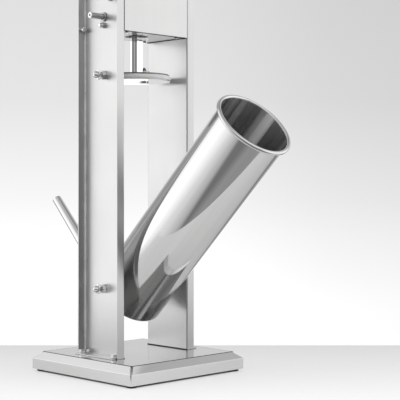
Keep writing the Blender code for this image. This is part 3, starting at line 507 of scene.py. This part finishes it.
def bore_with_painted_highlights(name):
    """Brushed bore with pale lengthwise streaks of painted highlight, duller than the steel beside them."""
    shader = Shader(name, (1, 1, 1), 1, bore_roughness[0])
    grain = shader.spread(shader.noise(bore_grain_scale, detail=4, roughness=0.6), -bore_grain, bore_grain)
    place = shader.parts_of(shader.place)
    turn = shader.sum_of("ARCTAN2", place["Y"], place["X"])
    painted_highlights = 0
    # Painted highlights: pale streaks at set angles round the bore
    for middle, half_width, strength in bore_painted_highlights:
        aside = shader.sum_of("ABSOLUTE", shader.sum_of("SUBTRACT", turn, math.radians(middle)))
        painted_highlight = shader.spread(aside, strength, 0, math.radians(half_width / 2), math.radians(half_width))
        painted_highlights = shader.sum_of("ADD", painted_highlights, painted_highlight)
    shader.tint(shader.sum_of("ADD", shader.spread(painted_highlights, *bore_tones, 0, 1), grain))
    shader.set("Roughness", shader.spread(painted_highlights, *bore_roughness, 0, 1))
    shader.brush(bore_brushing)
    shader.set("Anisotropic Rotation", bore_brushing_turn)
    return shader.mat


# Painted shade: share of its colour that the uprights' steel keeps at their foot, and the base's on its deck
upright_foot_painted_shade_share = 0.75
deck_painted_shade_share = 0.66

upright_foot, upright_top = [corner.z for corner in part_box("upright_near")]
upright_steel = brushed_steel(
    "upright_steel", (0.668, 0.668, 0.665), roughness=0.33, grain=(700, 700, 9), anisotropy=0.7,
    marks=0.003, relief=0.006, painted_shade_towards_foot=(upright_foot, upright_top, upright_foot_painted_shade_share),
)
cover_steel = brushed_steel(
    "cover_steel", (0.64, 0.64, 0.635), roughness=0.3, grain=(650, 650, 8), anisotropy=0.8,
    marks=0.01, relief=0.02,
)
deck_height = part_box("base_pan")[1].z
# The deck's darker colour is painted shade, for the shaded uprights that it mirrors
base_steel = brushed_steel(
    "base_steel", (0.74, 0.74, 0.735), roughness=0.15, grain=(10, 10, 600),
    marks=0.02, relief=0.05, painted_shade_above=(deck_height - mesh_gap, deck_painted_shade_share),
)
# The gearbox floor's steel is painted darker, as painted shade on the gearbox's underside
floor_steel_painted_shade = brushed_steel("floor_steel_painted_shade", (0.42, 0.42, 0.415), roughness=0.25, grain=(300, 12, 300))
# The piston cap's steel is painted dark, as painted shade in the gap between the cap and the seal
cap_steel_painted_shade = brushed_steel("cap_steel_painted_shade", (0.2, 0.2, 0.2), roughness=0.25, grain=(200, 200, 200))
valve_steel = brushed_steel("valve_steel", (0.82, 0.82, 0.815), roughness=0.4, grain=(200, 200, 200))
gear_steel = brushed_steel("gear_steel", (0.36, 0.36, 0.37), roughness=0.32, grain=(60, 700, 60), marks=0.05)
tube_steel = polished_steel(
    "tube_steel", (0.66, 0.66, 0.655), roughness=0.045, grain=(120, 120, 1.5), marks=0.04, relief=0.03
)
turned_steel = polished_steel(
    "turned_steel", (0.68, 0.68, 0.675), roughness=0.04, grain=(40, 40, 500), marks=0.008
)
bolt_steel = polished_steel(
    "bolt_steel", (0.78, 0.78, 0.775), roughness=0.05, grain=(300, 300, 300), marks=0.02
)
bush_steel = polished_steel(
    "bush_steel", (0.5, 0.49, 0.475), roughness=0.16, grain=(200, 600, 200), marks=0.03
)
bore_steel = bore_with_painted_highlights("bore_steel")
bright_rack = rack_steel("rack_steel")
rubber = plastic("foot_rubber", (0.024, 0.024, 0.024), roughness=0.72, grain_size=900, relief=0.25)
black_plastic = plastic("grip_plastic", (0.022, 0.022, 0.024), roughness=0.38, grain_size=1400, relief=0.12)
guide_plastic = plastic("guide_plastic", (0.7, 0.7, 0.69), roughness=0.45, grain_size=700, relief=0.1)
trim = plastic("corner_trim", (0.92, 0.92, 0.915), roughness=0.5, grain_size=700, relief=0.05)
# Near-black for painted shade in seams, gaps and the shafts' centre holes
painted_seam_shade = plastic("painted_seam_shade", (0.035, 0.035, 0.035), roughness=0.6, grain_size=900, relief=0.1)
seal_white = silicone("seal_silicone", (0.9, 0.9, 0.895), roughness=0.36)


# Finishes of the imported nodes, and bolt_steel for the rest
materials = {
    upright_steel: ["upright_near", "upright_far"],
    cover_steel: [
        "gearbox_front_cover", "gearbox_rear_cover", "gearbox_top", "bearing_plate_near", "bearing_plate_far",
    ],
    base_steel: ["base_pan"],
    tube_steel: ["cylinder_tube", "filling_horn", "outlet_elbow", "ring_nut"],
    bright_rack: ["rack_bar"],
    cap_steel_painted_shade: ["piston_cap"],
    valve_steel: ["air_valve_housing"],
    turned_steel: ["piston_base", "slow_shaft", "fast_shaft", "crank_arm"],
    floor_steel_painted_shade: ["gearbox_floor"],
    gear_steel: ["rack_pinion", "large_gear", "slow_pinion"],
    bush_steel: ["shaft_bush_slow", "shaft_bush_fast"],
    seal_white: ["piston_seal"],
    guide_plastic: ["rack_guide"],
    black_plastic: ["crank_grip", "thumb_screw"],
    rubber: [name for name in nodes if name.startswith("foot_")],
}
material_of = {name: mat for mat, names in materials.items() for name in names}
edge_of = {
    "base_pan": base_edge_round,
    "upright_near": upright_edge_round,
    "upright_far": upright_edge_round,
    "large_gear": 0,
    "slow_pinion": 0,
    "rack_pinion": 0,
}


def smoothing_group():
    """Smooths the faces of a mesh but keeps its sharp edges, as a modifier."""
    tree = bpy.data.node_groups.new("smooth_between_edges", "GeometryNodeTree")
    tree.interface.new_socket("Geometry", in_out="INPUT", socket_type="NodeSocketGeometry")
    tree.interface.new_socket("Geometry", in_out="OUTPUT", socket_type="NodeSocketGeometry")
    group = Nodes(tree)
    start = group.add("NodeGroupInput").outputs[0]
    angle = group.add("GeometryNodeInputMeshEdgeAngle").outputs["Unsigned Angle"]
    sharp = group.add("FunctionNodeCompare")
    sharp.operation = "GREATER_THAN"
    group.fill(sharp, {0: angle, 1: smooth_angle})
    faces = group.add("GeometryNodeSetShadeSmooth", {"Geometry": start})
    edges = group.add("GeometryNodeSetShadeSmooth")
    edges.domain = "EDGE"
    group.fill(edges, {"Geometry": faces.outputs[0], "Selection": sharp.outputs[0], "Shade Smooth": False})
    group.add("NodeGroupOutput", {0: edges.outputs[0]})
    return tree


smooth_between_edges = smoothing_group()


def finish_node(obj, mat, width):
    """The node's material, joined points, rounded edges and smooth faces."""
    if obj.material_slots:
        for slot in obj.material_slots:
            slot.material = mat
    else:
        obj.data.materials.append(mat)
    weld = obj.modifiers.new("weld", "WELD")
    weld.merge_threshold = join_distance
    if width:
        bevel = obj.modifiers.new("edges", "BEVEL")
        bevel.width = width
        bevel.segments = edge_segments
        bevel.limit_method = "ANGLE"
        bevel.angle_limit = smooth_angle
        bevel.use_clamp_overlap = True
    smooth = obj.modifiers.new("smooth", "NODES")
    smooth.node_group = smooth_between_edges
    flat = obj.modifiers.new("flat_faces_stay_flat", "WEIGHTED_NORMAL")
    flat.keep_sharp = True


for node_name, node in nodes.items():
    finish_node(node, material_of.get(node_name, bolt_steel), edge_of.get(node_name, edge_round))


# Tilting cylinder with its bosses
tube_place = Matrix.Translation(joint_place["cylinder_tilt"]) @ Matrix.Rotation(tilt_angle, 4, "Y")


def cylinder():
    bore = tube_radius - tube_wall
    bead = rim_bead_radius
    bottom = -tube_below_pivot
    foot = tube_foot_radius
    meet = math.degrees(math.acos((tube_radius - bore - bead) / bead))
    profile = [(outlet_radius, bottom)]
    profile += arc((tube_radius - foot, bottom + foot), foot, -90, 0, steps=8)
    profile += arc((bore + bead, rim_above_pivot), bead, -meet, 180, steps=22)
    profile += arc((bore - foot + tube_wall, bottom + foot), foot - tube_wall, 0, -90, steps=8)
    profile.append((outlet_radius, bottom + tube_wall))
    shell = spun("cylinder_shell", profile, tube_steel, fine, tube_place)
    shell.data.materials.append(bore_steel)
    for face in shell.data.polygons:
        out = math.hypot(face.center.x, face.center.y)
        if out < tube_radius - tube_wall / 2 and face.center.z > bottom + tube_wall / 2:
            face.material_index = 1
    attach(shell, "cylinder")
    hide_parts("cylinder_tube")


def bosses():
    start = tube_radius - tube_wall / 2
    end = tube_radius + boss_length
    weld = boss_weld
    profile = [(boss_bore, start), (boss_radius + weld, start)]
    profile += arc((boss_radius + weld, tube_radius + 2 * weld), weld, -90, -180, steps=4)
    profile += arc((boss_radius - weld / 2, end - weld / 2), weld / 2, 0, 90, steps=3)
    profile.append((boss_bore, end))
    for side, sign in sides:
        place = tube_place @ turned_to((0, sign, 0), (0, 0, 0))
        boss = spun("boss_" + side, profile, turned_steel, medium, place)
        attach(boss, "cylinder")


cylinder()
bosses()


# Elbow, ring nut and horn
horn_place = tube_place @ turned_to((-1, 0, 0), (0, 0, -horn_below_pivot))


def elbow():
    bend = elbow_bend_radius
    bend_steps = 16
    top = -tube_below_pivot - mesh_gap

    def across(radius, centre, lean):
        """A ring round the centre, level at first and standing on edge at a right angle of lean."""
        turn = 2 * math.pi / medium
        points = []
        for k in range(medium):
            out = radius * math.cos(k * turn)
            side = radius * math.sin(k * turn)
            points.append((centre[0] + out * math.cos(lean), side, centre[1] - out * math.sin(lean)))
        return points

    def path(radius):
        """Rings round the bend, from its top to the spout."""
        rings = []
        for k in range(bend_steps + 1):
            lean = k / bend_steps * math.pi / 2
            x = -bend + bend * math.cos(lean)
            z = -horn_below_pivot + bend - bend * math.sin(lean)
            rings.append(across(radius, (x, z), lean))
        return rings

    def along(radius, reach):
        """A ring round the spout."""
        return across(radius, (-reach, -horn_below_pivot), math.pi / 2)

    edge = boss_weld / 2
    rings = [
        across(elbow_flange_radius, (0, top), 0),
        across(elbow_flange_radius, (0, top - elbow_flange + edge), 0),
        across(elbow_flange_radius - edge, (0, top - elbow_flange), 0),
        across(elbow_radius + 2 * edge, (0, top - elbow_flange), 0),
        across(elbow_radius + edge, (0, top - elbow_flange - edge), 0),
        across(elbow_radius, (0, top - elbow_flange - 2 * edge), 0),
    ]
    rings += path(elbow_radius)
    rings += [
        along(elbow_radius, spout_collar_start),
        along(spout_collar_radius - edge, spout_collar_start),
        along(spout_collar_radius, spout_collar_start + edge),
        along(spout_collar_radius, spout_collar_start + spout_collar - edge),
        along(spout_collar_radius - edge, spout_collar_start + spout_collar),
        along(elbow_radius, spout_collar_start + spout_collar),
        along(elbow_radius, spout_reach),
        along(outlet_radius, spout_reach),
    ]
    rings += list(reversed(path(outlet_radius)))
    rings.append(across(outlet_radius, (0, top), 0))
    pipe = lofted("elbow_pipe", rings, tube_steel, tube_place, closed=True)
    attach(pipe, "cylinder")
    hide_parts("outlet_elbow")


elbow()


def horn():
    start = spout_reach + mesh_gap
    root = start + horn_flange
    fillet = horn_wall
    profile = [(horn_base_radius - horn_wall, start), (elbow_radius, start)]
    profile += arc((elbow_radius - fillet / 2, root - fillet / 2), fillet / 2, 0, 90, steps=3)
    profile += arc((horn_base_radius + fillet, root + fillet), fillet, -90, -180, steps=4)
    profile += [
        (horn_tip_radius, horn_end - horn_wall / 2),
        (horn_tip_radius - horn_wall / 4, horn_end),
        (horn_tip_radius - horn_wall, horn_end),
    ]
    tube = spun("horn_tube", profile, tube_steel, medium, horn_place)
    tube.data.materials.append(bore_steel)
    for face in tube.data.polygons:
        if face.normal.xy.dot(face.center.xy) < 0:
            face.material_index = 1
    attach(tube, "cylinder")
    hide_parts("filling_horn")


horn()


def nut():
    segments = points_per_side * nut_lobes
    turn = 2 * math.pi / segments
    edge = nut_lobe_depth / 2

    def lobed(radius, height):
        """A ring with a dip between each two lobes."""
        points = []
        for k in range(segments):
            dip = nut_lobe_depth * max(0.0, math.cos(k * turn * nut_lobes)) ** nut_lobe_power
            points.append(((radius - dip) * math.cos(k * turn), (radius - dip) * math.sin(k * turn), height))
        return points

    rings = [
        ring(nut_bore, nut_start, segments),
        lobed(nut_outer - edge, nut_start),
        lobed(nut_outer - edge / 4, nut_start + edge / 2),
        lobed(nut_outer, nut_start + edge),
        lobed(nut_outer, nut_end - edge),
        lobed(nut_outer - edge / 4, nut_end - edge / 2),
        lobed(nut_outer - edge, nut_end),
        ring(nut_lip_bore, nut_end, segments),
        ring(nut_lip_bore, nut_seat, segments),
        ring(nut_bore, nut_seat, segments),
    ]
    body = lofted("nut_body", rings, turned_steel, horn_place, closed=True)
    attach(body, "horn_nut")
    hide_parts("ring_nut")


nut()


# Ribs, and seams of painted shade on the frame
def bar(name, low_corner, high_corner, mat, round_off):
    bm = bmesh.new()
    bmesh.ops.create_cube(bm, size=1)
    middle = (Vector(low_corner) + Vector(high_corner)) / 2
    size = Vector(high_corner) - Vector(low_corner)
    for vert in bm.verts:
        vert.co = middle + Vector([share * length for share, length in zip(vert.co, size)])
    bmesh.ops.bevel(bm, geom=bm.edges[:], offset=round_off, segments=3, affect="EDGES", profile=0.5)
    obj = new_object(name, bm, mat)
    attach(obj, "frame")


# A bar of painted shade in a gap
def seam_bar(name, low_corner, high_corner, round_off):
    bar(name, low_corner, high_corner, painted_seam_shade, round_off)


def seam(name, low_corner, high_corner, bottom, top, width, fall=0.0):
    """A line of painted shade round a rectangle, from its edge outward, falling with a slope where one is
    given.
    """

    def rectangle(out, height):
        x0, y0 = low_corner[0] - out, low_corner[1] - out
        x1, y1 = high_corner[0] + out, high_corner[1] + out
        return [(x0, y0, height), (x1, y0, height), (x1, y1, height), (x0, y1, height)]

    rings = [
        rectangle(0, bottom),
        rectangle(0, top),
        rectangle(width, top - fall * width),
        rectangle(width, bottom - fall * width),
    ]
    obj = lofted(name, rings, painted_seam_shade, closed=True)
    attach(obj, "frame")


def ribs():
    for side, sign in sides:
        low_corner, high_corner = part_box("upright_" + side)
        web = sign * web_outer
        start = low_corner.x + upright_sheet
        ends = sorted((web, web + sign * rib_height))
        low = (start, ends[0], low_corner.z + rib_foot)
        high = (start + rib_width, ends[1], high_corner.z - mesh_gap)
        bar("upright_rib_" + side, low, high, trim, rib_round)


# Painted shade in the seam round the deck, and round the rack guide under the gearbox floor
def deck_and_guide_seams():
    low_corner, high_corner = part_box("base_pan")
    deck = [edge - math.copysign(bevel_run, edge) for edge in (*low_corner.xy, *high_corner.xy)]
    low, high = deck_height - seam_line, deck_height + seam_proud
    seam("deck_seam", deck[:2], deck[2:], low, high, deck_seam_width, bevel_drop / bevel_run)
    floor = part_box("gearbox_floor")[0].z
    low_corner, high_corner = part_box("rack_guide")
    seam("guide_painted_shade", low_corner.xy, high_corner.xy, floor - guide_shade_height, floor - mesh_gap, guide_shade_width)


# Painted shade in the gaps along the gearbox floor's edges
def floor_seams():
    low_corner, high_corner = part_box("gearbox_floor")
    width = floor_seam_width
    bottom = low_corner.z - floor_seam_height
    top = low_corner.z - mesh_gap
    low = (high_corner.x - width, low_corner.y + width, bottom)
    high = (high_corner.x, high_corner.y - width, top)
    seam_bar("floor_seam_front", low, high, floor_seam_round)
    for side, sign in sides:
        ends = sorted((sign * high_corner.y, sign * (high_corner.y - width)))
        low = (low_corner.x, ends[0], bottom)
        high = (high_corner.x, ends[1], top)
        seam_bar("floor_seam_" + side, low, high, floor_seam_round)


# Painted shade in the gap where each web meets the deck
def web_seams():
    for side, sign in sides:
        low_corner, high_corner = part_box("upright_" + side)
        web = sign * web_inner
        ends = sorted((web, web - sign * seam_proud))
        low = (low_corner.x, ends[0], deck_height + seam_proud)
        high = (high_corner.x, ends[1], deck_height + web_seam_height)
        seam_bar("web_seam_" + side, low, high, web_seam_round)


ribs()
deck_and_guide_seams()
floor_seams()
web_seams()


def centre_holes():
    """The lathe's centre hole in the end of each shaft, as a countersunk disc on the face, painted near-black
    as the shade in the hole.
    """
    for node_name, body in (("slow_shaft", "slow_train"), ("fast_shaft", "fast_train")):
        low_corner, high_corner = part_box(node_name)
        middle = (low_corner + high_corner) / 2
        radius = (high_corner.z - low_corner.z) * centre_hole_share / 2
        profile = [(radius * out, seam_proud * up) for out, up in centre_hole_outline_shares]
        place = turned_to((0, -1, 0), (middle.x, low_corner.y, middle.z))
        hole = spun("centre_hole_" + node_name, profile, painted_seam_shade, medium, place)
        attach(hole, body)


centre_holes()


# Dome nuts
def dome_nut(node_name, sign):
    low_corner, high_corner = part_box(node_name)
    middle = (low_corner + high_corner) / 2
    start = Vector((middle.x, low_corner.y if sign > 0 else high_corner.y, middle.z))
    segments = points_per_side * 6
    steps = 14
    face_radius = dome_flats / 2 - dome_chamfer / 4
    rings = [
        ring(stud_radius, 0, segments),
        ring(face_radius, 0, segments),
        hexagon(dome_flats, dome_chamfer, segments),
        hexagon(dome_flats, dome_hex_height - dome_chamfer / 3, segments),
        ring(face_radius, dome_hex_height, segments),
    ]
    for k in range(steps):
        angle = k / steps * math.pi / 2
        radius = dome_radius * math.cos(angle)
        rings.append(ring(radius, dome_hex_height + dome_height * math.sin(angle), segments))
    dome = lofted(node_name + "_cap", rings, bolt_steel, turned_to((0, sign, 0), start))
    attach(dome, "frame")
    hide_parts(node_name)


for side, sign in sides:
    for kind in ("pivot", "stop"):
        dome_nut(kind + "_dome_" + side, sign)


# Stage: camera, table and studio
def camera():
    data = bpy.data.cameras.new("camera")
    obj = bpy.data.objects.new("camera", data)
    bpy.context.scene.collection.objects.link(obj)
    obj.location = camera_place
    obj.rotation_euler = camera_forward.to_track_quat("-Z", "Y").to_euler()
    data.sensor_width = sensor_width
    data.lens = focal_pixels / frame_pixels * sensor_width
    data.shift_y = (horizon_pixel - frame_pixels / 2) / frame_pixels
    data.clip_end = camera_reach
    bpy.context.scene.camera = obj


camera()


def table_paper(to_the_right):
    """Pale matt paper that gives off the table's light."""
    shader = Shader("table_paper", table_colour, 0, table_roughness)
    shader.set("Specular IOR Level", table_specular)
    depth = shader.along(shader.place, camera_forward)
    lateral = shader.along(shader.place, to_the_right)
    rays = shader.add("ShaderNodeLightPath").outputs
    far_left = shader.spread(lateral, left_glow, 0, left_glow_full, left_glow_end)
    lift = [shader.sum_of("MULTIPLY", far_left, rays["Is Glossy Ray"])]
    for ray, glow in (("Is Camera Ray", glow_seen), ("Is Glossy Ray", glow_mirrored)):
        backward = shader.spread(depth, *glow, -table_before, table_behind)
        lift.append(shader.sum_of("MULTIPLY", backward, rays[ray]))
    glow = shader.sum_of("ADD", lift[0], shader.sum_of("ADD", *lift[1:]))
    place = shader.parts_of(shader.place)
    aside = shader.sum_of("MAXIMUM", *[shader.sum_of("ABSOLUTE", place[axis]) for axis in "XY"])
    shadow_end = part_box("base_pan")[1].x - under_shadow
    open_part = shader.spread(aside, 0, 1, shadow_end, shadow_end + under_shadow / 2)
    shader.set("Emission Color", (1, 1, 1, 1))
    shader.set("Emission Strength", shader.sum_of("MULTIPLY", glow, open_part))
    return shader.mat


def table():
    to_the_right = Vector((camera_forward.y, -camera_forward.x, 0))
    bm = bmesh.new()
    corners = []
    for along, across in ((-table_before, -1), (-table_before, 1), (table_behind, 1), (table_behind, -1)):
        corners.append(bm.verts.new(camera_forward * along + to_the_right * across * table_half_width))
    top = bm.faces.new(corners)
    lower = bmesh.ops.extrude_face_region(bm, geom=[top])["geom"]
    below = [item for item in lower if isinstance(item, bmesh.types.BMVert)]
    bmesh.ops.translate(bm, verts=below, vec=(0, 0, -table_thickness))
    obj = new_object("table", bm, table_paper(to_the_right), smooth=False)


table()


# Light of the studio by compass angle in degrees, from -180 to 180, in three bands of height
belt_light = (
    (-180, 0.42), (-173, 0.6), (-165, 1.3), (-155, 1.6), (-138, 1.6), (-126, 1.37), (-117, 1.12),
    (-108, 0.85), (-99, 0.6), (-92, 0.22), (-20, 0.24), (5, 0.4), (25, 1.3), (75, 1.35), (100, 1.0),
    (125, 0.87), (150, 0.82), (160, 0.52), (172, 0.4), (180, 0.42),
)
low_light = (
    (-180, 0.35), (-168, 0.9), (-150, 1.15), (-126, 1.1), (-112, 0.95), (-99, 0.62), (-93, 0.24),
    (-10, 0.24), (15, 0.26), (60, 0.4), (95, 0.3), (115, 0.5), (150, 0.5), (172, 0.26), (180, 0.35),
)
high_light = (
    (-180, 1.0), (-150, 1.3), (-110, 1.1), (-80, 0.9), (-20, 1.0), (30, 1.2), (70, 0.85),
    (95, 0.58), (130, 0.68), (160, 0.9), (180, 1.0),
)

# Heights in degrees over which the low band turns into the belt, and the belt into the high band
low_to_belt = (-24, -7)
belt_to_high = (14, 42)

# Caps of the studio, below and above: heights where each begins and is full, and its gain
light_caps = ((-50, -66, 0.65), (38, 64, -0.45))

# Patches behind the camera, low in the background, and to the right of it: start, end and soft edge
# by compass angle, the same by height, and the gain
light_patches = (
    ((-90, 5, 6), (14, 16, 16), 1.8),
    ((130, 152, 6), (-7.5, -2, 1.5), 0.9),
    ((88, 122, 10), (-38, 18, 6), -0.3),
)

# Backdrop that the camera sees: light by height, and its falloff by compass angle
backdrop_light = (
    (-12, 1.25), (-6, 1.16), (-4.5, 1.1), (-2.8, 1.04), (-0.8, 0.95), (4.2, 0.8), (9.5, 0.755), (40, 0.72),
)
backdrop_falloff = (
    (-180, 0.72), (80, 0.72), (112, 0.81), (124, 0.83), (129, 0.87), (136, 0.98), (150, 1.0), (180, 0.72),
)

# A colour ramp holds values up to 1, so light goes into it as a share of this
brightest = 2.0


def studio():
    world = bpy.data.worlds.new("studio")
    bpy.context.scene.world = world
    world.use_nodes = True
    world.node_tree.nodes.clear()
    sky = Nodes(world.node_tree)

    def between(source, start, end):
        """From zero at one angle in degrees to one at the other, with soft ends."""
        return sky.spread(source, 0, 1, math.radians(start), math.radians(end), soft=True)

    def window(source, low, high, soft):
        """One between two angles in degrees, falling to zero over the soft angle outside them."""
        return sky.sum_of("MULTIPLY", between(source, low - soft, low), between(source, high + soft, high))

    parts = sky.parts_of(sky.add("ShaderNodeTexCoord").outputs["Generated"])
    compass = sky.sum_of("ARCTAN2", parts["Y"], parts["X"])
    turn = sky.spread(compass, 0, 1, -math.pi, math.pi)
    height = sky.sum_of("ARCSINE", parts["Z"])

    def band(light):
        return sky.ramp(turn, [((angle + 180) / 360, value / brightest) for angle, value in light])

    belt = band(belt_light)
    low = band(low_light)
    high = band(high_light)
    lower_part = sky.mixed(between(height, *low_to_belt), low, belt)
    light = sky.mixed(between(height, *belt_to_high), lower_part, high)
    gain = 1
    for start, full, change in light_caps:
        gain = sky.sum_of("MULTIPLY_ADD", between(height, start, full), change, gain)
    for compass_window, height_window, change in light_patches:
        patch = sky.sum_of("MULTIPLY", window(compass, *compass_window), window(height, *height_window))
        gain = sky.sum_of("MULTIPLY_ADD", patch, change, gain)

    bottom, top = [math.radians(angle) for angle, shade in (backdrop_light[0], backdrop_light[-1])]
    rise = sky.spread(height, 0, 1, bottom, top)
    stops = []
    for angle, shade in backdrop_light:
        stops.append(((math.radians(angle) - bottom) / (top - bottom), shade / brightest))
    upward = sky.sum_of("MULTIPLY", sky.ramp(rise, stops), brightest)
    sideways = sky.sum_of("MULTIPLY", band(backdrop_falloff), brightest)
    backdrop = sky.sum_of("MULTIPLY", upward, sideways)

    strength = sky.sum_of("MULTIPLY", gain, brightest)
    studio_light = sky.add("ShaderNodeBackground", {"Strength": strength, "Color": light})
    seen = sky.add("ShaderNodeBackground", {"Color": sky.sum_of("MINIMUM", backdrop, 1)})
    choose = {
        "Fac": sky.add("ShaderNodeLightPath").outputs["Is Camera Ray"],
        1: studio_light.outputs["Background"],
        2: seen.outputs["Background"],
    }
    chosen = sky.add("ShaderNodeMixShader", choose).outputs["Shader"]
    sky.add("ShaderNodeOutputWorld", {"Surface": chosen})


studio()

bpy.context.scene.view_settings.view_transform = "Standard"
bpy.context.scene.cycles.glossy_bounces = 12
